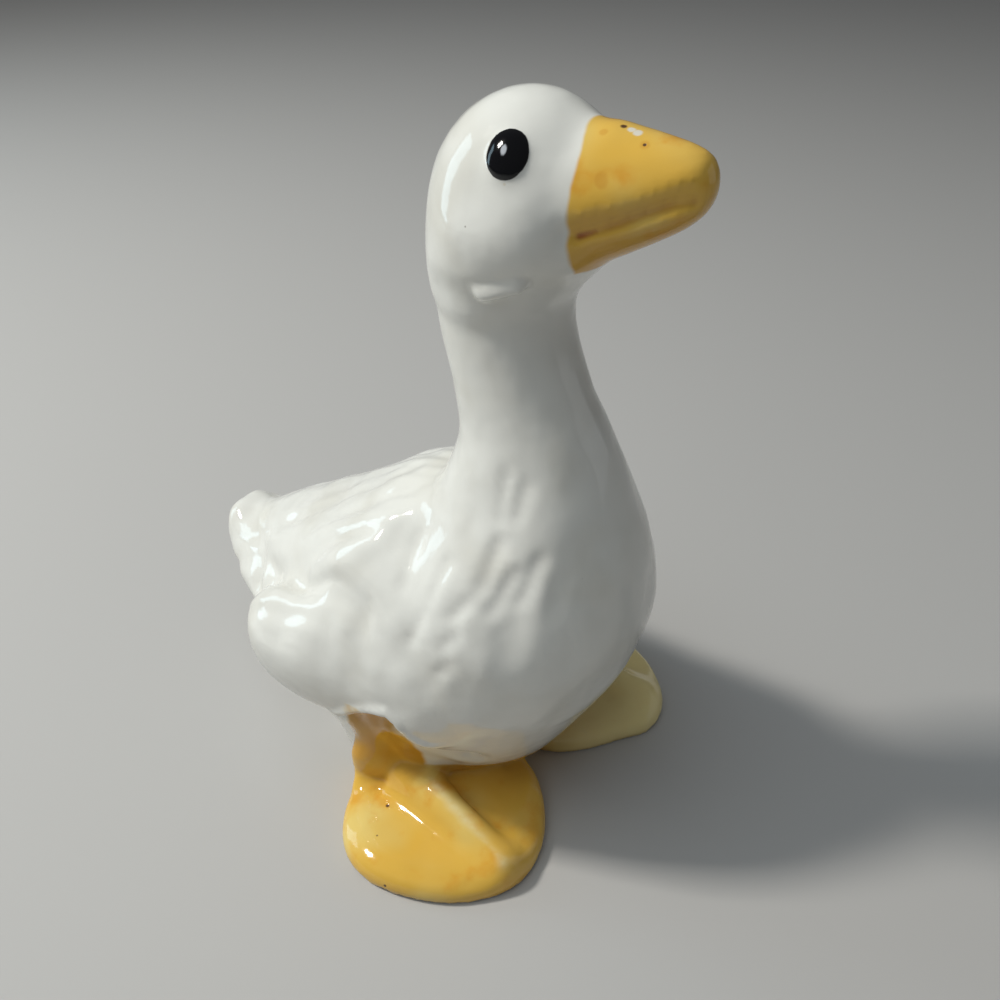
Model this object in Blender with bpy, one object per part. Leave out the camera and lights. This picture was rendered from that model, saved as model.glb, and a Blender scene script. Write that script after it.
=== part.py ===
"""Standing duck figurine: one hollow, slip-cast and glazed piece of earthenware.

Metres, +Z up. The duck looks along -Y and is the same on both sides of X = 0.
Every mass is placed from a datum on the ground between the feet, and the finished
casting is moved so that the origin lies under the middle of its outline.
"""

import math

import bmesh
import bpy
import numpy as np
from mathutils import Matrix, Vector

# Body, from the breast to the tail
BREAST_REACH = 0.028        # front of the breast, ahead of the datum
TAIL_REACH = 0.105          # tip of the tail, behind the datum
BREAST_DEPTH = 0.070        # from the front of the breast to the middle of the back
BODY_WIDTH = 0.080
BACK_HEIGHT = 0.090         # top of the shoulders above the ground

# Folded wings, which end in a round lobe on each side of the tail
WING_REACH = 0.069          # rear end of a lobe behind the datum
WING_LENGTH = 0.062
WING_DEPTH = 0.038          # from its upper to its lower edge
WING_THICKNESS = 0.026
WING_SWELL = 0.0024         # how far a wing stands out past the flank
WING_HEIGHT = 0.044         # middle of a wing above the ground
CREASE_WIDTH = 0.0075
CREASE_DEPTH = 0.0017
RIDGE_WIDTH = 0.0100        # soft edge between a wing and the back
RIDGE_RISE = 0.0010
HEM_WIDTH = 0.0090          # hollow under the lower edge of the wings and breast
HEM_DEPTH = 0.0028
HEM_BEYOND = 0.024          # the hem lies at least this far out from the middle

# Strokes of the modelling tool in the plumage
STROKE_WIDTH = 0.0052
STROKE_DEPTH = 0.0008

# Neck and head
NECK_LENGTH = 0.063         # from the shoulders to the middle of the head
NECK_DEPTH = 0.030
NECK_WIDTH = 0.029
HEAD_LENGTH = 0.042
HEAD_WIDTH = 0.038
HEAD_HEIGHT = 0.050
HEAD_SETBACK = 0.0039       # middle of the head behind the datum

# Bill
BILL_LENGTH = 0.0245        # beyond the front of the head
BILL_WIDTH = 0.028
BILL_HEIGHT = 0.027
BILL_ROOT_AHEAD = 0.0126    # root line of the bill ahead of the middle of the head
BILL_LIFT = 0.0065          # root line above the middle of the head
BILL_COLOUR_AHEAD = 0.0126  # edge of the yellow, ahead of the datum
MOUTH_WIDTH = 0.0048
MOUTH_DEPTH = 0.0012
CHEEK_WIDTH = 0.022
CHEEK_RISE = 0.0010
JAW_WIDTH = 0.013           # hollow where a cheek meets the neck
JAW_DEPTH = 0.0010

# Eyes
EYE_WIDTH = 0.0079
EYE_HEIGHT = 0.0092
EYE_DOME = 0.0010
EYE_OUT = 0.64              # the three parts of the way that an eye looks
EYE_AHEAD = 0.165
EYE_UP = 0.75

# Stand: the lower body, which reaches the ground between the legs
STAND_LENGTH = 0.060
STAND_WIDTH = 0.054
STAND_HEIGHT = 0.030

# Legs and webbed feet
LEG_DIAMETER = 0.014
LEG_TOP = 0.024             # where the yellow of a leg ends, above the ground
WEB_INNER = 0.016           # the yellow of a web begins this far out from the middle
HEEL = 0.033                # and ends this far behind the datum
SUNK = 0.002                # how far toes are modelled past the ground, then cut off
LEG_SPREAD = 0.056          # between the middles of the legs
LEG_SETBACK = 0.029         # legs behind the datum
FOOT_LENGTH = 0.056
FOOT_WIDTH = 0.0555
FOOT_THICKNESS = 0.0075
TOE_RIDGE = 0.0065          # rise of the middle toe above the web
TOE_RIDGE_WIDTH = 0.018
TOE_OUT = 0.0335            # end of the ridge, out from the middle
TOE_AHEAD = 0.0150          # end of the ridge, ahead of the datum
TOE_FALL = 0.65             # part of the ridge's rise that is lost by its end
WEB_WIDTH = 0.016           # hollow of the web beside the middle toe
WEB_DEPTH = 0.0014
LEFT_FOOT_AHEAD = 0.0032    # the left foot is set a little further forward
LEFT_FOOT_FROM = 0.018      # it turns forward from here outwards

# Casting
WALL = 0.0042
HOLLOW_SKIPS = 4            # lowest rings of the breast that the hollow leaves out
POUR_HOLE_DIAMETER = 0.012
GROUND_BLOCK = 1.0          # side of the block that stands for the ground

# Fineness of the surface
GRAIN = 0.0010              # voxel that fuses the masses
SOFTENING = 18              # passes that round the joins, as glaze does
LAST_SOFTENING = 3          # passes over the modelled details
OUTSIDE_TRIANGLES = 9700
HOLLOW_TRIANGLES = 1700
RING_POINTS = 48
POUR_HOLE_SIDES = 32
SEAM = 0.00002              # how near the middle a point counts as on it
TIP = 0.0005                # least half size of a ring
FACING = 0.05               # least lean of skin towards the view that a line is drawn in
FACING_BLEND = 0.35         # further lean at which the line has its full depth
BEYOND_BLEND = 0.003        # width over which a line fades out towards the middle
STAND_SQUARE = 2.8          # how square the rear of the stand is
EYE_EDGE = 0.4              # how steeply an eye rises at its rim; lower is steeper

# Finishes: name, colour and roughness
FINISHES = (
    ("white_glaze", (0.82, 0.80, 0.76, 1.0), 0.12),
    ("yellow_glaze", (0.80, 0.48, 0.08, 1.0), 0.12),
    ("eye_glaze", (0.006, 0.006, 0.008, 1.0), 0.08),
    ("bare_biscuit", (0.78, 0.72, 0.62, 1.0), 0.85),
)

# Body rings, tail to breast: place along the body (0 tail, 1 breast), half width,
# then height of the top, of the widest line and of the underside, and how square the
# lower half is. Widths are parts of half the body's width, heights of the back's.
# The underside lifts over the legs, where the edge of the wing arches.
BODY_RINGS = (
    (0.000, 0.14, 0.590, 0.55, 0.49, 2.0),
    (0.015, 0.24, 0.620, 0.53, 0.43, 2.0),
    (0.080, 0.33, 0.615, 0.49, 0.34, 2.0),
    (0.200, 0.50, 0.665, 0.46, 0.27, 2.1),
    (0.345, 0.76, 0.795, 0.46, 0.235, 2.5),
    (0.450, 0.94, 0.900, 0.47, 0.235, 3.0),
    (0.535, 1.00, 0.975, 0.48, 0.270, 3.2),
    (0.600, 1.00, 1.000, 0.49, 0.310, 3.0),
    (0.670, 0.99, 1.010, 0.50, 0.250, 2.8),
    (0.740, 0.93, 0.980, 0.53, 0.190, 2.4),
    (0.820, 0.78, 0.940, 0.57, 0.230, 2.1),
    (0.900, 0.56, 0.880, 0.62, 0.350, 2.0),
    (0.960, 0.30, 0.800, 0.66, 0.500, 2.0),
)

# Wing rings, lobe to shoulder: place along the wing, thickness, then depth, as parts.
WING_RINGS = (
    (0.00, 0.20, 0.22),
    (0.03, 0.46, 0.48),
    (0.10, 0.76, 0.76),
    (0.22, 0.97, 0.95),
    (0.42, 1.00, 1.00),
    (0.70, 0.80, 0.94),
    (1.00, 0.40, 0.70),
)

# Breast rings, belly to shoulders: height as a part of the back's, middle ahead of the
# datum as a part of the breast's reach, then half depth and half width.
BREAST_RINGS = (
    (0.155, -0.54, 0.62, 0.58),
    (0.28, -0.50, 0.77, 0.75),
    (0.41, -0.43, 0.89, 0.85),
    (0.51, -0.36, 0.96, 0.90),
    (0.655, -0.285, 1.00, 0.90),
    (0.77, -0.215, 0.94, 0.85),
    (0.91, -0.107, 0.80, 0.70),
)

# Neck rings, shoulders to head: place up the neck, middle ahead of the datum in
# parts of the neck's depth, then half depth and half width in parts of the neck's.
NECK_RINGS = (
    (0.06, -0.03, 1.44, 1.52),
    (0.25, -0.05, 1.16, 1.17),
    (0.42, -0.167, 1.007, 1.02),
    (0.62, -0.299, 0.962, 0.985),
    (0.75, -0.33, 0.97, 1.00),
    (0.90, -0.30, 1.00, 1.06),
)

# Head rings, chin to crown: height from the middle of the head in parts of half its
# height, middle ahead of the neck's top, half depth and half width as parts of half.
HEAD_RINGS = (
    (-0.90, -0.16, 0.48, 0.55),
    (-0.65, -0.15, 0.66, 0.82),
    (-0.35, -0.095, 0.82, 0.96),
    (-0.05, -0.02, 0.98, 1.00),
    (0.28, 0.00, 0.97, 0.95),
    (0.58, 0.00, 0.83, 0.81),
    (0.82, 0.00, 0.58, 0.57),
    (0.96, 0.01, 0.29, 0.28),
    (1.00, 0.02, 0.07, 0.07),
)

# Bill rings, head to tip: place along the bill, half width, top and bottom from the
# bill's root line, as parts of the bill's length, half width and height.
BILL_RINGS = (
    (-0.75, 1.00, 0.50, -0.36),
    (-0.25, 1.03, 0.50, -0.42),
    (0.00, 0.98, 0.49, -0.455),
    (0.25, 0.84, 0.465, -0.37),
    (0.50, 0.68, 0.44, -0.24),
    (0.75, 0.52, 0.41, -0.10),
    (0.90, 0.40, 0.37, 0.00),
    (0.98, 0.24, 0.30, 0.09),
    (1.00, 0.08, 0.23, 0.17),
)

# Mouth line: place along the bill and height from its root line, as parts.
MOUTH_LINE = (
    (0.10, -0.085),
    (0.36, 0.00),
    (0.62, 0.10),
    (0.89, 0.195),
)

# Lines seen from the side: place behind the datum as a part of the tail's reach, and
# height as a part of the back's. A crease parts the tail's rear face from the back, a
# ridge runs from the lobe up to the neck, and the hem arches over the leg.
TAIL_CREASE = ((0.914, 0.606), (0.848, 0.594), (0.762, 0.556), (0.705, 0.489))
RIDGE = ((0.457, 0.722), (0.400, 0.778), (0.321, 0.844), (0.270, 0.906), (0.219, 0.956))
HEM = (
    (0.476, 0.278), (0.305, 0.322), (0.248, 0.378), (0.190, 0.422),
    (0.152, 0.400), (0.124, 0.344), (0.076, 0.300), (0.019, 0.289),
)
CHEEK = ((0.076, 1.744), (-0.019, 1.733))
JAW = ((0.133, 1.578), (0.038, 1.578), (-0.057, 1.611))
BREAST_STROKES = (
    ((-0.015, 1.176), (-0.017, 1.070)),
    ((-0.056, 1.150), (-0.056, 1.080)),
    ((-0.031, 1.029), (-0.017, 0.911)),
    ((-0.074, 0.966), (-0.049, 0.868)),
    ((0.186, 0.931), (0.169, 0.839)),
    ((0.076, 0.941), (0.086, 0.846)),
    ((0.000, 0.878), (0.022, 0.827)),
    ((0.003, 0.794), (0.030, 0.748)),
    ((0.010, 0.717), (0.035, 0.671)),
    ((0.089, 0.809), (0.113, 0.732)),
    ((-0.116, 0.996), (-0.101, 0.904)),
)

# Lines seen from above: place out from the middle as a part of half the body's width,
# and behind the datum as a part of the tail's reach. A crease parts the lobe from the
# back, and long strokes run from the neck to the tail.
LOBE_CREASE = (
    (0.512, 0.724), (0.550, 0.686), (0.650, 0.600), (0.725, 0.510),
    (0.745, 0.438), (0.832, 0.320), (0.863, 0.248),
)
BACK_STROKES = (
    ((0.085, 0.314), (0.200, 0.381), (0.247, 0.514), (0.275, 0.686)),
    ((0.275, 0.267), (0.375, 0.343), (0.425, 0.438), (0.438, 0.552)),
)

# Hollows of a foot's web seen from above, in the same parts.
WEBS = (
    ((0.525, 0.210), (0.550, 0.057), (0.650, -0.086)),
    ((0.950, 0.229), (1.075, 0.076), (1.025, -0.067)),
)

# Stand rings, ground to belly: height, length and width as parts of the stand's.
STAND_RINGS = (
    (-0.20, 0.88, 0.96),
    (0.00, 0.90, 0.98),
    (0.30, 0.99, 1.05),
    (0.65, 1.15, 1.19),
    (1.00, 1.32, 1.34),
)

# One foot seen from above, going round from its inner end: place ahead of the datum
# as a part of the foot's length, and out from the middle as a part of its width.
FOOT_OUTLINE = (
    (-0.10, 0.04),
    (0.08, 0.10),
    (0.23, 0.25),
    (0.32, 0.42),
    (0.34, 0.60),
    (0.27, 0.76),
    (0.10, 0.91),
    (-0.15, 1.00),
    (-0.36, 0.98),
    (-0.52, 0.84),
    (-0.61, 0.62),
    (-0.58, 0.40),
    (-0.36, 0.20),
)


# The foot's rounded edge: height as a part of its thickness, and how far it is drawn in.
FOOT_EDGE = (
    (-0.30, 0.04),
    (0.00, 0.01),
    (0.35, 0.00),
    (0.75, 0.03),
    (1.00, 0.10),
)

# Ridge of the middle toe: place from the leg to its end, and size.
TOE_RINGS = (
    (-0.14, 0.3),
    (-0.08, 0.7),
    (0.00, 0.9),
    (0.15, 1.0),
    (0.35, 0.95),
    (0.60, 0.9),
    (0.85, 0.75),
    (1.00, 0.5),
    (1.08, 0.25),
)

# Leg rings: height as a part of the stand's, and width as a part of the leg's.
LEG_RINGS = (
    (0.00, 1.25),
    (0.35, 1.00),
    (0.80, 1.05),
    (1.20, 1.20),
)


def smooth_rows(rows, steps):
    """Rows of numbers joined by a smooth curve, with extra rows between them."""
    padded = (rows[0],) + tuple(rows) + (rows[-1],)
    fine = []
    for before, start, end, after in zip(padded, padded[1:], padded[2:], padded[3:]):
        for step in range(steps):
            t = step / steps
            fine.append(tuple(
                0.5 * (2 * b + (c - a) * t + (2 * a - 5 * b + 4 * c - d) * t ** 2
                       + (3 * b - a - 3 * c + d) * t ** 3)
                for a, b, c, d in zip(before, start, end, after)))
    fine.append(tuple(rows[-1]))
    return fine


def oval(half_width, up, down, square=2.0):
    """Points round an oval whose upper and lower halves differ in height."""
    points = []
    for index in range(RING_POINTS):
        turn = 2 * math.pi * index / RING_POINTS
        across, rise = math.cos(turn), math.sin(turn)
        power = 2.0 / square if rise < 0 else 1.0
        x = half_width * math.copysign(abs(across) ** power, across)
        z = (up if rise > 0 else down) * math.copysign(abs(rise) ** power, rise)
        points.append((x, z))
    return points


def add_loft(bm, rings):
    """Skin a row of rings, each a closed loop of points, into one closed body."""
    loops = []
    for ring in rings:
        verts = [bm.verts.new(point) for point in ring]
        loops.append([bm.edges.new(pair) for pair in zip(verts, verts[1:] + verts[:1])])
    for near, far in zip(loops, loops[1:]):
        bmesh.ops.bridge_loops(bm, edges=near + far)
    for end in (loops[0], loops[-1]):
        bmesh.ops.contextual_create(bm, geom=end)


def body_rings(inset=0.0):
    """Upright rings of the body, drawn in by the inset."""
    length = BREAST_REACH + TAIL_REACH - 2 * inset
    rings = []
    for along, width, top, middle, bottom, square in smooth_rows(BODY_RINGS, 4):
        y = TAIL_REACH - inset - along * length
        half = max(width * BODY_WIDTH / 2 - inset, TIP)
        centre = middle * BACK_HEIGHT
        up = max(top * BACK_HEIGHT - centre - inset, TIP)
        down = max(centre - bottom * BACK_HEIGHT - inset, TIP)
        rings.append([Vector((x, y, centre + z)) for x, z in oval(half, up, down, square)])
    return rings


def head_centre():
    """Middle of the head, above the top of the neck."""
    return Vector((0.0, HEAD_SETBACK, BACK_HEIGHT + NECK_LENGTH))


def trunk_rings(inset=0.0):
    """Level rings of the breast and neck, belly to head, drawn in by the inset."""
    rows = [(up * BACK_HEIGHT, ahead * BREAST_REACH, depth * BREAST_DEPTH / 2, width * BODY_WIDTH / 2)
            for up, ahead, depth, width in BREAST_RINGS]
    rows += [(BACK_HEIGHT + up * NECK_LENGTH, ahead * NECK_DEPTH, depth * NECK_DEPTH / 2,
              width * NECK_WIDTH / 2)
             for up, ahead, depth, width in NECK_RINGS]
    rings = []
    for z, ahead, half_y, half_x in smooth_rows(rows, 4):
        flat = oval(half_x - inset, half_y - inset, half_y - inset)
        rings.append([Vector((x, y - ahead, z)) for x, y in flat])
    return rings


def head_rings(inset=0.0):
    """Level rings of the head, drawn in by the inset."""
    centre = head_centre()
    rings = []
    for up, ahead, depth, width in smooth_rows(HEAD_RINGS, 4):
        z = centre.z + up * (HEAD_HEIGHT / 2 - inset)
        half_y = max(depth * HEAD_LENGTH / 2 - inset, TIP)
        half_x = max(width * HEAD_WIDTH / 2 - inset, TIP)
        middle = centre.y - ahead * HEAD_LENGTH
        rings.append([Vector((x, y + middle, z)) for x, y in oval(half_x, half_y, half_y)])
    return rings


def bill_root():
    """Middle of the bill where it leaves the front of the head."""
    return head_centre() + Vector((0.0, -BILL_ROOT_AHEAD, BILL_LIFT))


def bill_rings():
    """Upright rings of the bill, head to tip."""
    root = bill_root()
    rings = []
    for along, width, top, bottom in smooth_rows(BILL_RINGS, 4):
        y = root.y - along * BILL_LENGTH
        middle = root.z + (top + bottom) / 2 * BILL_HEIGHT
        half = (top - bottom) / 2 * BILL_HEIGHT
        rings.append([Vector((x, y, middle + z)) for x, z in oval(width * BILL_WIDTH / 2, half, half)])
    return rings


def stand_rings(inset=0.0):
    """Level rings of the stand, ground to belly."""
    rings = []
    for up, length, width in smooth_rows(STAND_RINGS, 3):
        half_x = width * STAND_WIDTH / 2 - inset
        half_y = length * STAND_LENGTH / 2 - inset
        y = STAND_LENGTH / 2
        flat = oval(half_x, half_y, half_y, STAND_SQUARE)
        rings.append([Vector((x, y - dy, up * STAND_HEIGHT)) for x, dy in flat])
    return rings


def add_foot(bm, side):
    """A webbed foot with a ridge along its middle toe, and the leg that it carries."""
    outline = smooth_rows(FOOT_OUTLINE + FOOT_OUTLINE[:1], 3)[:-1]
    points = [Vector((side * out * FOOT_WIDTH, -ahead * FOOT_LENGTH, 0.0)) for ahead, out in outline]
    middle = sum(points, Vector()) / len(points)
    rings = []
    for up, inset in FOOT_EDGE:
        lift = Vector((0.0, 0.0, up * FOOT_THICKNESS))
        rings.append([point.lerp(middle, inset) + lift for point in points])
    add_loft(bm, rings)
    leg = Vector((side * LEG_SPREAD / 2, LEG_SETBACK, 0.0))
    toe = Vector((side * TOE_OUT, -TOE_AHEAD, 0.0))
    rings = []
    for along, size in TOE_RINGS:
        centre = leg.lerp(toe, along)
        rise = TOE_RIDGE * size * (1 - TOE_FALL * max(along, 0) ** 2)
        height = FOOT_THICKNESS * min(1.0, 2 * size) + rise
        half = TOE_RIDGE_WIDTH / 2 * size
        rings.append([centre + Vector((x, 0, z)) for x, z in oval(half, height, SUNK)])
    add_loft(bm, rings)
    rings = []
    for up, swell in LEG_RINGS:
        half = swell * LEG_DIAMETER / 2
        centre = leg + Vector((0.0, 0.0, up * STAND_HEIGHT))
        rings.append([centre + Vector((x, y, 0.0)) for x, y in oval(half, half, half)])
    add_loft(bm, rings)


def add_wing(bm, side):
    """A folded wing: a swell along the flank that ends in a round lobe by the tail."""
    centre = side * (BODY_WIDTH / 2 + WING_SWELL - WING_THICKNESS / 2)
    rings = []
    for along, thickness, depth in smooth_rows(WING_RINGS, 3):
        y = WING_REACH - along * WING_LENGTH
        half_x = thickness * WING_THICKNESS / 2
        half_z = depth * WING_DEPTH / 2
        rings.append([Vector((centre + x, y, WING_HEIGHT + z)) for x, z in oval(half_x, half_z, half_z)])
    add_loft(bm, rings)


def read_skin(obj):
    """Places and normals of the skin's points, as two arrays of rows."""
    count = len(obj.data.vertices)
    places = np.empty(count * 3, dtype=np.float32)
    normals = np.empty(count * 3, dtype=np.float32)
    obj.data.vertices.foreach_get("co", places)
    obj.data.vertices.foreach_get("normal", normals)
    return places.reshape(-1, 3).astype(float), normals.reshape(-1, 3).astype(float)


def write_skin(obj, places):
    """Move the skin's points to new places."""
    obj.data.vertices.foreach_set("co", places.astype(np.float32).ravel())
    obj.data.update()


def groove_shape(flat, path, width):
    """How deep a groove is at each flat point, 1 on the path and 0 at its edges."""
    nearest = np.full(len(flat), np.inf)
    for start, end in zip(path, path[1:]):
        start, end = np.array(start), np.array(end)
        run = end - start
        share = np.clip((flat - start) @ run / (run @ run), 0.0, 1.0)
        gap = np.linalg.norm(flat - (start + share[:, None] * run), axis=1)
        nearest = np.minimum(nearest, gap)
    inside = np.clip(nearest / (width / 2), 0.0, 1.0)
    return np.cos(inside * math.pi / 2) ** 2


def carve(obj, path, width, rise, from_above=False, beyond=0.0):
    """Raise or press a line into both sides, along a path seen from the side or from above.

    Only skin that faces that way, at least so far out from the middle, is moved.
    """
    places, normals = read_skin(obj)
    out = np.abs(places[:, 0])
    if from_above:
        flat, facing = np.column_stack((out, places[:, 1])), normals[:, 2]
    else:
        flat, facing = places[:, 1:], normals[:, 0] * np.sign(places[:, 0])
    lean = np.clip((facing - FACING) / FACING_BLEND, 0.0, 1.0)
    clear = np.clip((out - beyond) / BEYOND_BLEND + 1.0, 0.0, 1.0)
    shape = groove_shape(flat, path, width) * lean * clear
    write_skin(obj, places + normals * (shape * rise)[:, None])


def from_side(line):
    """A line of the side view in metres."""
    return [(TAIL_REACH * back, BACK_HEIGHT * up) for back, up in line]


def from_top(line):
    """A line of the view from above in metres."""
    return [(BODY_WIDTH / 2 * out, TAIL_REACH * back) for out, back in line]


def eye_spot(side):
    """Middle of an eye on the head, and the way that it looks."""
    look = Vector((side * EYE_OUT, -EYE_AHEAD, EYE_UP)).normalized()
    half = (HEAD_WIDTH / 2, HEAD_LENGTH / 2, HEAD_HEIGHT / 2)
    reach = 1 / math.sqrt(sum((way / size) ** 2 for way, size in zip(look, half)))
    return head_centre() + look * reach, look


def raise_eye(obj, side):
    """Swell the skin into the dome of an eye."""
    centre, look = eye_spot(side)
    across = Vector((0, 0, 1)).cross(look).normalized()
    upward = look.cross(across)
    places, normals = read_skin(obj)
    offset = places - np.array(centre)
    u = offset @ np.array(across) / (EYE_WIDTH / 2)
    v = offset @ np.array(upward) / (EYE_HEIGHT / 2)
    near = (np.abs(offset @ np.array(look)) < EYE_HEIGHT / 2)
    dome = np.clip(1 - u ** 2 - v ** 2, 0.0, 1.0) ** EYE_EDGE * near
    write_skin(obj, places + normals * (dome * EYE_DOME)[:, None])


def carve_details(obj):
    """Eyes, mouth, cheeks, and the modelling of wings, tail, plumage and feet."""
    for side in (-1, 1):
        raise_eye(obj, side)
    root = bill_root()
    mouth = [(root.y - along * BILL_LENGTH, root.z + up * BILL_HEIGHT) for along, up in MOUTH_LINE]
    carve(obj, mouth, MOUTH_WIDTH, -MOUTH_DEPTH)
    carve(obj, from_side(CHEEK), CHEEK_WIDTH, CHEEK_RISE)
    carve(obj, from_side(JAW), JAW_WIDTH, -JAW_DEPTH)
    carve(obj, from_side(TAIL_CREASE), CREASE_WIDTH, -CREASE_DEPTH)
    carve(obj, from_top(LOBE_CREASE), CREASE_WIDTH, -CREASE_DEPTH, from_above=True)
    carve(obj, from_side(RIDGE), RIDGE_WIDTH, RIDGE_RISE)
    carve(obj, from_side(HEM), HEM_WIDTH, -HEM_DEPTH, beyond=HEM_BEYOND)
    for line in BREAST_STROKES:
        carve(obj, from_side(line), STROKE_WIDTH, -STROKE_DEPTH)
    for line in BACK_STROKES:
        carve(obj, from_top(line), STROKE_WIDTH, -STROKE_DEPTH, from_above=True)
    for line in WEBS:
        carve(obj, from_top(line), WEB_WIDTH, -WEB_DEPTH, from_above=True)


def fade(values, start, end):
    """1 at the start value, 0 at the end one, and smooth between them."""
    share = np.clip((values - start) / (end - start), 0.0, 1.0)
    return 1 - share * share * (3 - 2 * share)


def advance_left_foot(obj):
    """Draw the front of the left foot forward, as it stands on the real figure."""
    places, _ = read_skin(obj)
    outwards = fade(places[:, 0], LEG_SPREAD / 2, LEFT_FOOT_FROM)
    low = fade(places[:, 2], FOOT_THICKNESS + TOE_RIDGE, STAND_HEIGHT)
    front = fade(places[:, 1], 0.0, LEG_SETBACK)
    places[:, 1] -= LEFT_FOOT_AHEAD * outwards * low * front
    write_skin(obj, places)


def evaluated_copy(name, obj):
    """The object's mesh with its modifiers applied, under a new name."""
    graph = bpy.context.evaluated_depsgraph_get()
    mesh = bpy.data.meshes.new_from_object(obj.evaluated_get(graph), depsgraph=graph)
    mesh.name = name
    return mesh


def new_object(name, bm):
    """Put a bmesh into the scene as an object."""
    mesh = bpy.data.meshes.new(name)
    bm.to_mesh(mesh)
    bm.free()
    obj = bpy.data.objects.new(name, mesh)
    bpy.context.collection.objects.link(obj)
    return obj


def apply_modifiers(obj):
    """Turn what the modifiers show into the object's own mesh."""
    obj.data = evaluated_copy(obj.name, obj)
    obj.modifiers.clear()


def soften(obj, passes):
    """Round every edge a little."""
    smooth = obj.modifiers.new("soften", "SMOOTH")
    smooth.factor = 0.5
    smooth.iterations = passes
    apply_modifiers(obj)


def fuse(obj, grain, passes):
    """Melt overlapping masses into one skin, then soften the joins."""
    remesh = obj.modifiers.new("fuse", "REMESH")
    remesh.mode = "VOXEL"
    remesh.voxel_size = grain
    remesh.adaptivity = 0.0
    apply_modifiers(obj)
    soften(obj, passes)


def thin_out(obj, triangles):
    """Reduce one half of the skin to its share of triangles, then mirror it."""
    bm = bmesh.new()
    bm.from_mesh(obj.data)
    everything = bm.verts[:] + bm.edges[:] + bm.faces[:]
    bmesh.ops.bisect_plane(bm, geom=everything, dist=SEAM, plane_co=(0, 0, 0),
                           plane_no=(1, 0, 0), clear_inner=True)
    bm.to_mesh(obj.data)
    bm.free()
    faces = sum(len(p.vertices) - 2 for p in obj.data.polygons)
    thin = obj.modifiers.new("thin", "DECIMATE")
    thin.ratio = min(1.0, triangles / 2 / faces)
    apply_modifiers(obj)
    for vert in obj.data.vertices:
        if abs(vert.co.x) < SEAM:
            vert.co.x = 0.0
    mirror = obj.modifiers.new("other half", "MIRROR")
    mirror.use_axis = (True, False, False)
    mirror.merge_threshold = SEAM
    apply_modifiers(obj)


def subtract(obj, cutter):
    """Cut one closed body out of another and drop the cutter."""
    cut = obj.modifiers.new("cut", "BOOLEAN")
    cut.operation = "DIFFERENCE"
    cut.solver = "EXACT"
    cut.object = cutter
    apply_modifiers(obj)
    bpy.data.objects.remove(cutter)


def make_outside():
    """The outer skin of the casting, still below the ground by a little."""
    bm = bmesh.new()
    add_loft(bm, body_rings())
    add_loft(bm, trunk_rings())
    add_loft(bm, head_rings())
    add_loft(bm, bill_rings())
    add_loft(bm, stand_rings())
    for side in (-1, 1):
        add_foot(bm, side)
        add_wing(bm, side)
    bmesh.ops.recalc_face_normals(bm, faces=bm.faces)
    outside = new_object("duck_figurine", bm)
    fuse(outside, GRAIN, SOFTENING)
    carve_details(outside)
    soften(outside, LAST_SOFTENING)
    thin_out(outside, OUTSIDE_TRIANGLES)
    advance_left_foot(outside)
    return outside


def make_hollow():
    """The space inside, where the spare slip was poured out."""
    bm = bmesh.new()
    add_loft(bm, body_rings(WALL))
    add_loft(bm, trunk_rings(WALL)[HOLLOW_SKIPS:])
    add_loft(bm, head_rings(WALL))
    floor = Vector((0.0, 0.0, WALL - STAND_RINGS[0][0] * STAND_HEIGHT))
    add_loft(bm, [[point + floor for point in ring] for ring in stand_rings(WALL)])
    bmesh.ops.recalc_face_normals(bm, faces=bm.faces)
    hollow = new_object("hollow", bm)
    fuse(hollow, 2 * GRAIN, SOFTENING)
    thin_out(hollow, HOLLOW_TRIANGLES)
    return hollow


def make_pour_hole():
    """A round hole through the floor of the stand, under its middle."""
    bm = bmesh.new()
    place = Matrix.Translation((0.0, STAND_LENGTH / 2, 0.0))
    radius = POUR_HOLE_DIAMETER / 2
    bmesh.ops.create_cone(bm, cap_ends=True, segments=POUR_HOLE_SIDES, radius1=radius,
                          radius2=radius, depth=4 * WALL, matrix=place)
    return new_object("pour_hole", bm)


def make_ground():
    """Everything below the ground, which levels the soles and the stand."""
    bm = bmesh.new()
    below = Matrix.Translation((0.0, 0.0, -GROUND_BLOCK / 2))
    bmesh.ops.create_cube(bm, size=GROUND_BLOCK, matrix=below)
    return new_object("ground", bm)


def on_bill(place):
    """Whether a point of the skin is ahead of the edge of the bill's yellow."""
    return place.y < -BILL_COLOUR_AHEAD and place.z > bill_root().z - BILL_HEIGHT / 2


def on_foot(place):
    """Whether a point of the skin belongs to a leg or a webbed foot."""
    from_leg = math.hypot(abs(place.x) - LEG_SPREAD / 2, place.y - LEG_SETBACK)
    low = place.z < FOOT_THICKNESS + TOE_RIDGE and place.y < HEEL
    beside = abs(place.x) > WEB_INNER or place.y < 0
    return low and beside or from_leg < LEG_DIAMETER and place.z < LEG_TOP


def on_eye(place):
    """Whether a point of the skin lies on the dome of an eye."""
    centre, look = eye_spot(math.copysign(1, place.x))
    across = Vector((0, 0, 1)).cross(look).normalized()
    u = (place - centre).dot(across) / (EYE_WIDTH / 2)
    v = (place - centre).dot(look.cross(across)) / (EYE_HEIGHT / 2)
    return u ** 2 + v ** 2 < 1 and abs((place - centre).dot(look)) < EYE_HEIGHT / 2


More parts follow.
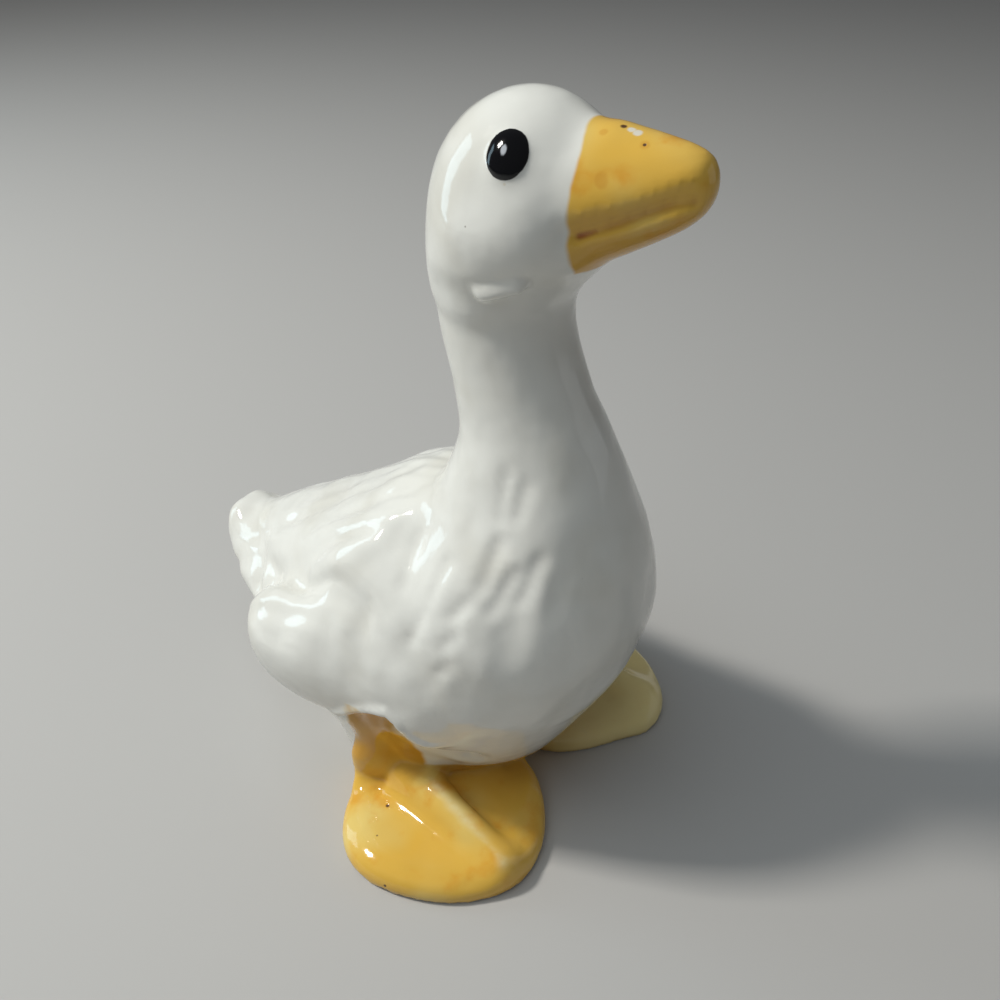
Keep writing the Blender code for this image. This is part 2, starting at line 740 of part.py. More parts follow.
def part_bill(obj):
    """Lay a line of edges round the bill, where its yellow ends."""
    bm = bmesh.new()
    bm.from_mesh(obj.data)
    faces = [face for face in bm.faces if face.calc_center_median().z > bill_root().z - BILL_HEIGHT]
    verts = {vert for face in faces for vert in face.verts}
    edges = {edge for face in faces for edge in face.edges}
    bmesh.ops.bisect_plane(bm, geom=list(verts) + list(edges) + faces, dist=SEAM,
                           plane_co=(0.0, -BILL_COLOUR_AHEAD, 0.0), plane_no=(0.0, 1.0, 0.0))
    bmesh.ops.triangulate(bm, faces=bm.faces[:])
    bm.to_mesh(obj.data)
    bm.free()


def paint(obj):
    """Glaze colours: bone white, yellow bill and feet, black eyes, and bare soles."""
    for name, colour, roughness in FINISHES:
        material = bpy.data.materials.new(name)
        material.use_nodes = True
        shader = material.node_tree.nodes["Principled BSDF"]
        shader.inputs["Base Color"].default_value = colour
        shader.inputs["Roughness"].default_value = roughness
        shader.inputs["Metallic"].default_value = 0.0
        obj.data.materials.append(material)
    white, yellow, black, bare = range(len(FINISHES))
    for face in obj.data.polygons:
        face.material_index = white
        if face.center.z < SEAM:
            face.material_index = bare
        elif on_eye(face.center):
            face.material_index = black
        elif on_bill(face.center) or on_foot(face.center):
            face.material_index = yellow


def centre_on_origin(obj):
    """Slide the casting until the origin is under the middle of its outline."""
    reach = [vert.co.y for vert in obj.data.vertices]
    obj.data.transform(Matrix.Translation((0.0, -(min(reach) + max(reach)) / 2, 0.0)))


for old in list(bpy.data.objects):
    bpy.data.objects.remove(old)

duck = make_outside()
subtract(duck, make_ground())
subtract(duck, make_hollow())
subtract(duck, make_pour_hole())
part_bill(duck)
paint(duck)
centre_on_origin(duck)
duck.data.shade_smooth()
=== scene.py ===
"""A glazed earthenware duck, cast in one hollow piece, on a pale floor in soft light."""

import math

import bmesh
import bpy
import numpy as np
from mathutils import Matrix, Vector, noise


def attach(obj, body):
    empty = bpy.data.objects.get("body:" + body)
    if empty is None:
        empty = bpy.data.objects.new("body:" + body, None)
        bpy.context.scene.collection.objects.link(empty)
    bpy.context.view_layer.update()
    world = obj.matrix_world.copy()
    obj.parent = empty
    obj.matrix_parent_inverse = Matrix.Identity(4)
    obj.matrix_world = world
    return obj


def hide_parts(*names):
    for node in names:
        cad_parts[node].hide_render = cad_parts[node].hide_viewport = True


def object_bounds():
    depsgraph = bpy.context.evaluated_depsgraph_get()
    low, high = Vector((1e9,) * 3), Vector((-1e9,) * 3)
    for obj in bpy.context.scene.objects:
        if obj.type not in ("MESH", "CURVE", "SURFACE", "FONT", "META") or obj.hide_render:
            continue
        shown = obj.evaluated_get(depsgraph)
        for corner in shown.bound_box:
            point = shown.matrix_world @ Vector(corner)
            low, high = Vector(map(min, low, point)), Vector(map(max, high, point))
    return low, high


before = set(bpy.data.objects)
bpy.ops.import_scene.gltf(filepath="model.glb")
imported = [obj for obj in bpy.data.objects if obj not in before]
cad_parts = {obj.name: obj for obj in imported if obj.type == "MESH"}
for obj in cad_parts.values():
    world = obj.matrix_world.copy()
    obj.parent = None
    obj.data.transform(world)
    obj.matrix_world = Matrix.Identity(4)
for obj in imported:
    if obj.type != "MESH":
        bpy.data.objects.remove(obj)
solid_low, solid_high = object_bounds()


# The casting: one wall of earthenware, left by slip in a plaster mould. Its skin is the
# solid's own, laid out again as an even net and softened at every edge, as glaze does.
# What the softening takes off the whole form is put back on. All sizes are in metres.
CASTING_NODE = "duck_figurine"
SKIN_GRAIN = 0.00092
SKIN_PASSES = 11
PASS_STRENGTH = 0.5
WELD = 0.00002


def remade(obj):
    """Turn what the object's modifiers show into its own mesh."""
    graph = bpy.context.evaluated_depsgraph_get()
    old = obj.data
    obj.data = bpy.data.meshes.new_from_object(obj.evaluated_get(graph), depsgraph=graph)
    obj.modifiers.clear()
    bpy.data.meshes.remove(old)


def read_skin():
    """Places and normals of the skin's points, as two arrays of rows."""
    count = len(duck.data.vertices)
    places = np.empty(count * 3, dtype=np.float32)
    normals = np.empty(count * 3, dtype=np.float32)
    duck.data.vertices.foreach_get("co", places)
    duck.data.vertices.foreach_get("normal", normals)
    return places.reshape(-1, 3).astype(float), normals.reshape(-1, 3).astype(float)


def write_skin(places):
    """Put the skin's points at new places, none of them outside the solid's box."""
    inside = np.clip(places, np.array(solid_low), np.array(solid_high))
    duck.data.vertices.foreach_set("co", inside.astype(np.float32).ravel())
    duck.data.update()


def softened(passes):
    """Where the skin's points come to lie after some passes of smoothing."""
    places = read_skin()[0]
    soften = duck.modifiers.new("soften", "SMOOTH")
    soften.factor = PASS_STRENGTH
    soften.iterations = passes
    remade(duck)
    smooth = read_skin()[0]
    write_skin(places)
    return smooth


skin = bpy.data.meshes.new("glazed_duck")
bm = bmesh.new()
bm.from_mesh(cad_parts[CASTING_NODE].data)
bmesh.ops.remove_doubles(bm, verts=bm.verts, dist=WELD)
bm.to_mesh(skin)
bm.free()
duck = bpy.data.objects.new("glazed_duck", skin)
bpy.context.collection.objects.link(duck)
net = duck.modifiers.new("net", "REMESH")
net.mode = "VOXEL"
net.voxel_size = SKIN_GRAIN
remade(duck)
once = softened(SKIN_PASSES)
write_skin(once)
twice = softened(SKIN_PASSES)
write_skin(2 * once - twice)


# The inner wall, which meets the outer one in the pour hole. Nobody sees it, so its net
# is thinned out, and it stays bare, as the glaze is only brushed on outside.
POUR_PLACE = -0.006
POUR_REACH = 0.0068
INNER_LEFT_OUT = 0.9

bm = bmesh.new()
bm.from_mesh(duck.data)
crown = max(bm.verts, key=lambda vert: vert.co.z)
outside = {crown}
front = [crown]
while front:
    vert = front.pop()
    for edge in vert.link_edges:
        other = edge.other_vert(vert)
        in_hole = abs(other.co.x) < POUR_REACH and abs(other.co.y - POUR_PLACE) < POUR_REACH
        if other not in outside and not (in_hole and other.co.z < POUR_REACH):
            outside.add(other)
            front.append(other)
inside = [vert.index for vert in bm.verts if vert not in outside]
inner_share = len(inside) / len(bm.verts)
bm.free()
inner = duck.vertex_groups.new(name="inner_wall")
inner.add(inside, 1.0, "REPLACE")
thinning = duck.modifiers.new("thinning", "DECIMATE")
thinning.ratio = 1 - INNER_LEFT_OUT * inner_share
thinning.vertex_group = inner.name
remade(duck)


# The finer net on the bill and round the eyes, where the mould was cut most finely.
# The left side repeats the right one, so places here and below are given for +X only.
FINE_AHEAD = -0.046
FINE_ABOVE = 0.146
EYE_PLACE = Vector((0.0143, -0.0358, 0.1698))
EYE_LOOK = Vector((0.80, -0.18, 0.62)).normalized()
EYE_FIELD = 0.0085
QUAD = 4

bm = bmesh.new()
bm.from_mesh(duck.data)
fine = set()
for vert in bm.verts:
    spot = Vector((abs(vert.co.x), vert.co.y, vert.co.z))
    on_bill = spot.y < FINE_AHEAD and spot.z > FINE_ABOVE
    if on_bill or (spot - EYE_PLACE).length < EYE_FIELD:
        fine.add(vert)
edges = [edge for edge in bm.edges if edge.verts[0] in fine and edge.verts[1] in fine]
bmesh.ops.subdivide_edges(bm, edges=edges, cuts=1, use_grid_fill=True)
bmesh.ops.triangulate(bm, faces=[face for face in bm.faces if len(face.verts) > QUAD])
bm.to_mesh(duck.data)
bm.free()


# How the skin is modelled: by strokes of a tool along a line of points, by soft limits
# between two values, and by random swells.
def both_sides(places):
    """The points with their X made positive, as the two sides are alike."""
    return np.column_stack((np.abs(places[:, 0]), places[:, 1], places[:, 2]))


def stroke(places, line, width):
    """1 along a line of points and 0 from half its width away."""
    nearest = np.full(len(places), np.inf)
    for start, end in zip(line, line[1:]):
        start, end = np.array(start), np.array(end)
        run = end - start
        share = np.clip((places - start) @ run / (run @ run), 0.0, 1.0)
        distance = np.linalg.norm(places - (start + share[:, None] * run), axis=1)
        nearest = np.minimum(nearest, distance)
    return np.cos(np.clip(nearest / (width / 2), 0.0, 1.0) * math.pi / 2) ** 2


def fade(values, low, high):
    """0 below the low value, 1 above the high one, and smooth between them."""
    share = np.clip((values - low) / (high - low), 0.0, 1.0)
    return share * share * (3 - 2 * share)


def ripples(places, sizes, lean, seed):
    """Soft random swells whose size differs along the axes; they may lean backwards."""
    upright = places.copy()
    upright[:, 1] += lean * places[:, 2]
    shift = Vector((seed, 0.0, 0.0))
    return np.array([noise.noise(Vector(point) + shift) for point in upright / np.array(sizes)])


# The larger forms: the tail and the lobe over the thigh hang lower than in the solid, and
# the ridges of back and bill, the side and notch of the tail and the leg's root are
# fuller. Each fuller form has its line, its width and how far the skin moves there.
TAIL_DROOP = 0.0050
TAIL_BACK = (0.038, 0.064)
ABOVE_STAND = (0.034, 0.046)
LOBE_DROOP = 0.0042
LOBE_SIDE = (0.018, 0.028)
LOBE_BACK = (0.002, 0.016)
LOBE_TOP = (0.042, 0.060)
BACK_RIDGE = (((0.0, 0.0300, 0.0660), (0.0, 0.0400, 0.0600), (0.0, 0.0480, 0.0560)),
              0.0300, (0.0, 0.0, 0.0014))
TAIL_CHEEK = (((0.0178, 0.0465, 0.0378), (0.0200, 0.0420, 0.0385), (0.0225, 0.0380, 0.0400)),
              0.0230, (0.0023, 0.0031, 0.0))
TAIL_NOTCH = (((0.0125, 0.0590, 0.0390), (0.0150, 0.0535, 0.0380)),
              0.0140, (0.0008, 0.0012, 0.0))
BILL_ROOF = (((0.0, -0.0510, 0.1715), (0.0, -0.0600, 0.1708), (0.0, -0.0660, 0.1690)),
             0.0250, (0.0, 0.0, 0.0021))
LEG_ROOT = (((0.0345, -0.0046, 0.0140), (0.0341, -0.0042, 0.0084)),
            0.0150, (0.0017, 0.0017, 0.0))

places = read_skin()[0]
folded = both_sides(places)
on_lobe = fade(folded[:, 0], *LOBE_SIDE) * fade(places[:, 1], *LOBE_BACK)
tail_droop = TAIL_DROOP * fade(places[:, 1], *TAIL_BACK) * fade(places[:, 2], *ABOVE_STAND)
lobe_droop = LOBE_DROOP * on_lobe * fade(places[:, 2], *LOBE_TOP)
places[:, 2] -= np.maximum(tail_droop, lobe_droop)
outward = np.column_stack((np.sign(places[:, 0]), np.ones((len(places), 2))))
for line, width, move in (BACK_RIDGE, TAIL_CHEEK, TAIL_NOTCH, BILL_ROOF, LEG_ROOT):
    places += stroke(both_sides(places), line, width)[:, None] * np.array(move) * outward
write_skin(places)


# The tail's end and the crease under the belly, where glaze has run and filled the form.
# There the skin is softened much more than elsewhere.
TAIL_MELT = (0.032, 0.046)
BACK_MELT = (0.060, 0.068)
BELLY_CREASE = ((0.0285, -0.0262, 0.0250), (0.0308, -0.0327, 0.0311), (0.0291, -0.0350, 0.0307),
                (0.0250, -0.0379, 0.0271))
BELLY_CREASE_WIDTH = 0.0150
MELT_PASSES = 34

places = read_skin()[0]
on_tail = fade(places[:, 1], *TAIL_MELT) * (1 - fade(places[:, 2], *BACK_MELT))
melted = np.maximum(on_tail, stroke(both_sides(places), BELLY_CREASE, BELLY_CREASE_WIDTH))
write_skin(places + melted[:, None] * (softened(MELT_PASSES) - places))


# The feet: domes that run down smoothly from the crest behind each toe to a thin rim.
# Only heights are evened out, so the outline, the sole, the crest and the leg stay.
FOOT_PASSES = 210
FOOT_HEIGHT = (0.0150, 0.0200)
FOOT_INNER = (0.012, 0.016)
FOOT_BEHIND = (-0.002, 0.004)
LEG_AXIS = (0.0290, -0.0100)
LEG_CLEAR = (0.0078, 0.0118)
TOE_CREST = ((0.0290, -0.0200, 0.0132), (0.0321, -0.0307, 0.0120), (0.0342, -0.0400, 0.0101),
             (0.0360, -0.0500, 0.0075))
CREST_KEPT = 0.0060
SOLE_KEPT = (0.0004, 0.0012)
LEAST_WEIGHT = 0.001


def off_leg_axis(folded):
    """How far the points lie from the leg's axis, seen from above."""
    return np.hypot(folded[:, 0] - LEG_AXIS[0], folded[:, 1] - LEG_AXIS[1])


places = read_skin()[0]
folded = both_sides(places)
free = 1 - fade(places[:, 2], *FOOT_HEIGHT)
free *= fade(off_leg_axis(folded), *LEG_CLEAR) * fade(places[:, 2], *SOLE_KEPT)
free *= fade(folded[:, 0], *FOOT_INNER) * (1 - fade(places[:, 1], *FOOT_BEHIND))
free *= 1 - stroke(folded, TOE_CREST, CREST_KEPT)
feet = duck.vertex_groups.new(name="feet")
for index in np.flatnonzero(free > LEAST_WEIGHT):
    feet.add([int(index)], float(free[index]), "REPLACE")
round_off = duck.modifiers.new("round_off", "SMOOTH")
round_off.vertex_group = feet.name
round_off.factor = PASS_STRENGTH
round_off.iterations = FOOT_PASSES
round_off.use_x = False
round_off.use_y = False
remade(duck)
duck.vertex_groups.remove(duck.vertex_groups["feet"])


# The soft strokes of plumage down the sides of the breast and along the back, faint
# hammer marks, the lip rolled along the hem above the legs, the fold of the jaw, and the
# toe's crest with the hollow of the web. Each pushes the skin along its own normal.
OUTER_SKIN = (0.032, 0.050)
NECK_ABOVE = (0.105, 0.130)
OFF_MIDDLE = (0.008, 0.022)
BREAST_FRONT = (0.000, 0.022)
BREAST_TOP = (0.090, 0.112)
BREAST_RIPPLES = ((0.0066, 0.0060, 0.0180), 0.20, 3.0)
BREAST_RISE = 0.00050
FACING_UP = (0.25, 0.6)
BACK_FROM = (-0.022, -0.006)
BACK_RIPPLES = ((0.0034, 0.0400, 0.0300), 0.0, 11.0)
BACK_RISE = 0.0005
HAMMER_RIPPLES = ((0.0100, 0.0100, 0.0100), 0.0, 7.0)
HAMMER_RISE = 0.0004
HEM_LIP = ((0.0387, -0.0010, 0.0320), (0.0399, -0.0099, 0.0388), (0.0402, -0.0155, 0.0422),
           (0.0395, -0.0192, 0.0437), (0.0394, -0.0217, 0.0418), (0.0384, -0.0235, 0.0375),
           (0.0370, -0.0264, 0.0354), (0.0352, -0.0288, 0.0346), (0.0324, -0.0341, 0.0360),
           (0.0313, -0.0367, 0.0375))
HEM_ENDS = (0.025, 0.036)
HEM_LIP_WIDTH = 0.0046
HEM_LIP_RISE = 0.0009
HEM_STEP = 0.0034
HEM_STEP_WIDTH = 0.0056
HEM_STEP_RISE = -0.0006
JAW_FOLD = ((0.0172, -0.0326, 0.1438), (0.0152, -0.0388, 0.1466))
JAW_FOLD_WIDTH = 0.0062
JAW_FOLD_RISE = 0.0020
TOE_CREST_WIDTH = 0.0170
TOE_CREST_RISE = 0.0013
WEB_HOLLOW = ((0.0255, -0.0330, 0.0085), (0.0275, -0.0440, 0.0070))
WEB_HOLLOW_WIDTH = 0.0120
WEB_HOLLOW_RISE = -0.0008

places, normals = read_skin()
folded = both_sides(places)
outer = fade(places[:, 2], *OUTER_SKIN)
below_neck = 1 - fade(places[:, 2], *NECK_ABOVE)
on_breast = outer * fade(folded[:, 0], *OFF_MIDDLE) * fade(-places[:, 1], *BREAST_FRONT)
on_breast *= 1 - fade(places[:, 2], *BREAST_TOP)
on_back = fade(normals[:, 2], *FACING_UP) * fade(places[:, 1], *BACK_FROM) * outer
rise = BREAST_RISE * on_breast * ripples(places, *BREAST_RIPPLES)
rise += BACK_RISE * on_back * ripples(places, *BACK_RIPPLES)
rise += HAMMER_RISE * outer * below_neck * ripples(places, *HAMMER_RIPPLES)
hem_ends = 1 - fade(-places[:, 1], *HEM_ENDS)
below_hem = folded + np.array((0.0, 0.0, HEM_STEP))
rise += HEM_LIP_RISE * hem_ends * stroke(folded, HEM_LIP, HEM_LIP_WIDTH)
rise += HEM_STEP_RISE * hem_ends * stroke(below_hem, HEM_LIP, HEM_STEP_WIDTH)
rise += JAW_FOLD_RISE * stroke(folded, JAW_FOLD, JAW_FOLD_WIDTH)
rise += TOE_CREST_RISE * stroke(folded, TOE_CREST, TOE_CREST_WIDTH)
rise += WEB_HOLLOW_RISE * stroke(folded, WEB_HOLLOW, WEB_HOLLOW_WIDTH)
write_skin(places + normals * rise[:, None])


# The eyes: raised ovals in the mould, brushed black, each with a dab of grey white. Both
# are kept as how far a point lies inside the oval, as a share of its half width.
EYE_WIDTH = 0.0077
EYE_HEIGHT = 0.0091
EYE_RISE = 0.0005
GLINT_PLACE = (0.09, 0.05)
GLINT_WIDTH = 0.17
GLINT_HEIGHT = 0.26
FAR_OUTSIDE = -1.0

places, normals = read_skin()
offset = both_sides(places) - np.array(EYE_PLACE)
eye_across = Vector((0, 0, 1)).cross(EYE_LOOK).normalized()
eye_up = EYE_LOOK.cross(eye_across)
u = offset @ np.array(eye_across) / (EYE_WIDTH / 2)
v = offset @ np.array(eye_up) / (EYE_HEIGHT / 2)
near = np.abs(offset @ np.array(EYE_LOOK)) < EYE_HEIGHT / 2
eye = np.where(near, 1 - np.hypot(u, v), FAR_OUTSIDE)
glint_u = (u - GLINT_PLACE[0]) / GLINT_WIDTH
glint_v = (v - GLINT_PLACE[1]) / GLINT_HEIGHT
glint = np.where(near, 1 - np.hypot(glint_u, glint_v), FAR_OUTSIDE)
dome = EYE_RISE * np.sqrt(np.clip(1 - u ** 2 - v ** 2, 0.0, 1.0)) * near
write_skin(places + normals * dome[:, None])


# The bill: its lips are parted by a soft groove, with a short slit at the corner of the
# mouth. Groove and slit are kept as masks too, as the colour is darker in them.
LIPS = ((0.0105, -0.0487, 0.1565), (0.0092, -0.0517, 0.1578), (0.0087, -0.0540, 0.1588),
        (0.0080, -0.0560, 0.1597), (0.0068, -0.0592, 0.1614), (0.0055, -0.0630, 0.1631),
        (0.0036, -0.0665, 0.1641))
LIPS_WIDTH = 0.0044
LIPS_RISE = -0.0006
SLIT = ((0.0104, -0.0489, 0.1566), (0.0093, -0.0515, 0.1577))
SLIT_WIDTH = 0.0026
SLIT_RISE = -0.0003

places, normals = read_skin()
folded = both_sides(places)
lips = stroke(folded, LIPS, LIPS_WIDTH)
slit = stroke(folded, SLIT, SLIT_WIDTH)
write_skin(places + normals * (LIPS_RISE * lips + SLIT_RISE * slit)[:, None])


# Where each colour was brushed on, kept on the skin as distances in millimetres from
# the colour's edge: positive inside it. The yellow reaches up the legs to the hem. The
# inner wall and the soles are bare, and glaze has pooled where the form is hollow.
BILL_EDGE = -0.0474
BILL_EDGE_ON_TOP = 0.0028
BILL_TOP_HALF = 0.0110
BILL_UNDER = 0.1484
LEG_RADIUS = 0.0112
LEG_TOP = 0.0400
WEB_TOP_AT = (-0.038, -0.031, -0.023, -0.018)
WEB_TOP = (0.0190, 0.0165, 0.0158, 0.0175)
WEB_INNER = 0.0130
WEB_AHEAD = -0.0300
HEEL = 0.0005
BARE_SOLE = 0.0004
SOLE_EDGE = 0.0002
POOL_PASSES = 10
MM = 1000.0


def keep(name, values):
    """Store one value for each point of the skin."""
    layer = duck.data.attributes.new(name, "FLOAT", "POINT")
    layer.data.foreach_set("value", values.astype(np.float32))


places, normals = read_skin()
pooled = np.einsum("ij,ij->i", softened(POOL_PASSES) - places, normals) * MM
folded = both_sides(places)
bill_edge = BILL_EDGE + BILL_EDGE_ON_TOP * (1 - fade(folded[:, 0], 0.0, BILL_TOP_HALF))
bill = np.minimum(bill_edge - places[:, 1], places[:, 2] - BILL_UNDER) * MM
column = np.minimum(LEG_RADIUS - off_leg_axis(folded), LEG_TOP - places[:, 2])
web_top = np.interp(places[:, 1], WEB_TOP_AT, WEB_TOP)
off_stand = np.maximum(folded[:, 0] - WEB_INNER, WEB_AHEAD - places[:, 1])
web = np.minimum(np.minimum(web_top - places[:, 2], off_stand), HEEL - places[:, 1])
inner_wall = np.zeros(len(places))
for vert in duck.data.vertices:
    for entry in vert.groups:
        inner_wall[vert.index] = entry.weight
sole = fade(BARE_SOLE - places[:, 2], -SOLE_EDGE, SOLE_EDGE)
keep("bill", bill)
keep("foot", np.maximum(column, web) * MM)
keep("leg", column * MM)
keep("eye", eye * EYE_WIDTH / 2 * MM)
keep("glint", glint)
keep("lips", lips)
keep("slit", slit)
keep("pooled", pooled)
# How far each point faces down: there the yellow is darkened as painted shade.
keep("underside_shade", np.clip(-normals[:, 2], 0.0, 1.0))
keep("bare", np.maximum(inner_wall, sole))


# The finish: clear glaze over bone-white slip, a mottled yellow on bill and feet that
# thins to cream on its edges, black eyes, and bare biscuit under the soles and inside.
BONE_WHITE = (0.79, 0.785, 0.735, 1.0)
THICK_WHITE = (0.71, 0.695, 0.63, 1.0)
YELLOW = (0.76, 0.46, 0.075, 1.0)
ORANGE = (0.72, 0.33, 0.030, 1.0)
# A darker yellow: glaze pooled in hollows, and painted shade on the undersides.
POOLED_AND_SHADED_YELLOW = (0.50, 0.25, 0.030, 1.0)
# Deep yellow for the legs: partly glaze pooled under the hem, partly painted shade beneath its
# overhang.
POOLED_AND_SHADED_LEG_YELLOW = (0.58, 0.29, 0.025, 1.0)
LEMON = (0.78, 0.66, 0.25, 1.0)
PALE_LEMON = (0.93, 0.78, 0.37, 1.0)
CREAM = (0.80, 0.70, 0.40, 1.0)
MOUTH_RED = (0.33, 0.065, 0.020, 1.0)
EYE_BLACK = (0.003, 0.003, 0.004, 1.0)
DAB_WHITE = (0.50, 0.52, 0.56, 1.0)
BISCUIT = (0.74, 0.68, 0.57, 1.0)
PIT_BROWN = (0.10, 0.045, 0.018, 1.0)
CHIP_WHITE = (0.74, 0.70, 0.60, 1.0)
SMUDGE = (0.62, 0.27, 0.030, 1.0)
DUST = (0.16, 0.13, 0.10, 1.0)
GLAZE_IOR = 1.5

finish = bpy.data.materials.new("glazed_earthenware")
finish.use_nodes = True
tree = finish.node_tree
shader = tree.nodes["Principled BSDF"]
shader.inputs["IOR"].default_value = GLAZE_IOR


def node(kind, **values):
    """A node with its settings made."""
    made = tree.nodes.new(kind)
    for name, value in values.items():
        setattr(made, name, value)
    return made


def wire(source, target, name):
    """Join an output to a named input."""
    tree.links.new(source, target.inputs[name])


def stored(name):
    """A value stored on the skin."""
    return node("ShaderNodeAttribute", attribute_name=name).outputs["Fac"]


def speckle(scale, detail):
    """Random swells over the piece, from 0 to 1."""
    swell = node("ShaderNodeTexNoise")
    swell.inputs["Scale"].default_value = scale
    swell.inputs["Detail"].default_value = detail
    wire(place.outputs["Object"], swell, "Vector")
    return swell.outputs["Fac"]


def ramp(value, low, high):
    """0 below the low value and 1 above the high one, or the other way round."""
    made = node("ShaderNodeMapRange", interpolation_type="SMOOTHSTEP")
    made.inputs["From Min"].default_value = low
    made.inputs["From Max"].default_value = high
    wire(value, made, "Value")
    return made.outputs["Result"]


def sums(operation, first, second):
    """Two values joined by an operation; either may be a plain number."""
    made = node("ShaderNodeMath", operation=operation)
    for index, value in enumerate((first, second)):
        if isinstance(value, (int, float)):
            made.inputs[index].default_value = value
        else:
            tree.links.new(value, made.inputs[index])
    return made.outputs["Value"]


def times(first, second):
    """The product of two values: a mask cut by another one, or at a share of itself."""
    return sums("MULTIPLY", first, second)


def blend(mask, under, over):
    """One colour laid over another where the mask says; either may be plain."""
    made = node("ShaderNodeMix", data_type="RGBA")
    tree.links.new(mask, made.inputs["Factor"])
    for index, colour in ((6, under), (7, over)):
        if isinstance(colour, tuple):
            made.inputs[index].default_value = colour
        else:
            tree.links.new(colour, made.inputs[index])
    return made.outputs[2]


# The random swells, each by scale and detail. One frays the edge of small marks, the
# other is how unevenly a brush stops at a colour's edge, in millimetres.
MIDDLE = 0.5
FRAY = (420.0, 2.0)
BRUSH = (240.0, 1.0)
BRUSH_REACH = 1.5
BRUSH_ON_BILL = 0.6

place = node("ShaderNodeTexCoord")
axes = node("ShaderNodeSeparateXYZ")
wire(place.outputs["Object"], axes, "Vector")
wobble = sums("SUBTRACT", speckle(*FRAY), MIDDLE)
brushed = times(sums("SUBTRACT", speckle(*BRUSH), MIDDLE), BRUSH_REACH)
pool = stored("pooled")
bill_in = sums("ADD", stored("bill"), times(brushed, BRUSH_ON_BILL))
foot_in = sums("ADD", stored("foot"), brushed)
leg_in = sums("ADD", stored("leg"), brushed)

# The white: faintly clouded, and creamier where the glaze has pooled in hollows. A mask
# runs from 0 at its first value to 1 at its second one; a share weakens it.
CLOUDS = (60.0, 2.0)
CLOUD_MASK = (0.40, 0.80)
WHITE_POOL = (0.02, 0.40)
WHITE_POOL_SHARE = 0.8

white = blend(ramp(speckle(*CLOUDS), *CLOUD_MASK), BONE_WHITE, THICK_WHITE)
white = blend(times(ramp(pool, *WHITE_POOL), WHITE_POOL_SHARE), white, THICK_WHITE)

# The yellow: lemon and orange patches, a paler left foot, darker where it pooled, painted shade
# where it faces down, cream where it ran thin on the feet's crests and rims, and deep up the
# legs, partly from pooled glaze and partly as painted shade under the hem.
LEMON_PATCHES = (46.0, 1.5)
LEMON_MASK = (0.42, 0.72)
LEMON_SHARE = 0.65
ORANGE_PATCHES = (120.0, 4.0)
ORANGE_MASK = (0.52, 0.74)
ORANGE_SHARE = 0.75
LEFT_SIDE = (0.0, 0.012)
BELOW_BELLY = (0.050, 0.030)
LEFT_FOOT_SHARE = 0.85
YELLOW_POOL = (0.03, 0.30)
YELLOW_POOL_SHARE = 0.55
FOOT_MASK = (-3.0, -1.0)
OFF_LEG = (1.0, -1.0)
CREST_MASK = (-0.06, -0.34)
RIM_MASK = (1.4, 0.0)
CREAM_SHARE = 0.6
UNDERSIDE_SHADE_SHARE = 0.8
LEG_MASK = (-1.0, 1.2)
LEG_UPWARD = (0.009, 0.020)

left_foot = times(ramp(axes.outputs["X"], *LEFT_SIDE), ramp(axes.outputs["Z"], *BELOW_BELLY))
lemon_patches = ramp(speckle(*LEMON_PATCHES), *LEMON_MASK)
orange_patches = ramp(speckle(*ORANGE_PATCHES), *ORANGE_MASK)
yellow = blend(times(lemon_patches, LEMON_SHARE), YELLOW, LEMON)
yellow = blend(times(orange_patches, ORANGE_SHARE), yellow, ORANGE)
yellow = blend(times(left_foot, LEFT_FOOT_SHARE), yellow, PALE_LEMON)
yellow = blend(times(ramp(pool, *YELLOW_POOL), YELLOW_POOL_SHARE), yellow, POOLED_AND_SHADED_YELLOW)
on_foot = times(ramp(stored("foot"), *FOOT_MASK), ramp(leg_in, *OFF_LEG))
thin = sums("MAXIMUM", ramp(pool, *CREST_MASK), ramp(foot_in, *RIM_MASK))
yellow = blend(times(times(thin, on_foot), CREAM_SHARE), yellow, CREAM)
# Painted shade: the yellow darkens where the skin faces down, under the bill and the feet.
yellow = blend(times(stored("underside_shade"), UNDERSIDE_SHADE_SHARE), yellow, POOLED_AND_SHADED_YELLOW)
# Deeper yellow up the legs towards the hem, partly pooled glaze and partly painted shade under
# the overhang.
up_leg = times(ramp(leg_in, *LEG_MASK), ramp(axes.outputs["Z"], *LEG_UPWARD))
yellow = blend(up_leg, yellow, POOLED_AND_SHADED_LEG_YELLOW)

# The colours one over the other: white, yellow bill and feet, red in the mouth, and the
# black of the eyes with their dab of white.
BILL_MASK = (-0.45, 0.45)
YELLOW_FOOT_MASK = (-0.8, 0.8)
INSIDE_BILL = (0.3, 1.0)
LIPS_MASK = (0.35, 1.0)
LIPS_SHARE = 0.45
SLIT_MASK = (0.0, 0.6)
SLIT_SHARE = 0.90
EYE_FRAY = 0.25
EYE_MASK = (-0.10, 0.10)
GLINT_MASK = (0.0, 0.45)

colour = blend(ramp(bill_in, *BILL_MASK), white, yellow)
colour = blend(ramp(foot_in, *YELLOW_FOOT_MASK), colour, yellow)
in_yellow = ramp(bill_in, *INSIDE_BILL)
groove = times(ramp(stored("lips"), *LIPS_MASK), in_yellow)
colour = blend(times(groove, LIPS_SHARE), colour, MOUTH_RED)
parted = times(ramp(stored("slit"), *SLIT_MASK), in_yellow)
colour = blend(times(parted, SLIT_SHARE), colour, MOUTH_RED)
eye_in = sums("ADD", stored("eye"), times(wobble, EYE_FRAY))
colour = blend(ramp(eye_in, *EYE_MASK), colour, EYE_BLACK)
colour = blend(ramp(stored("glint"), *GLINT_MASK), colour, DAB_WHITE)

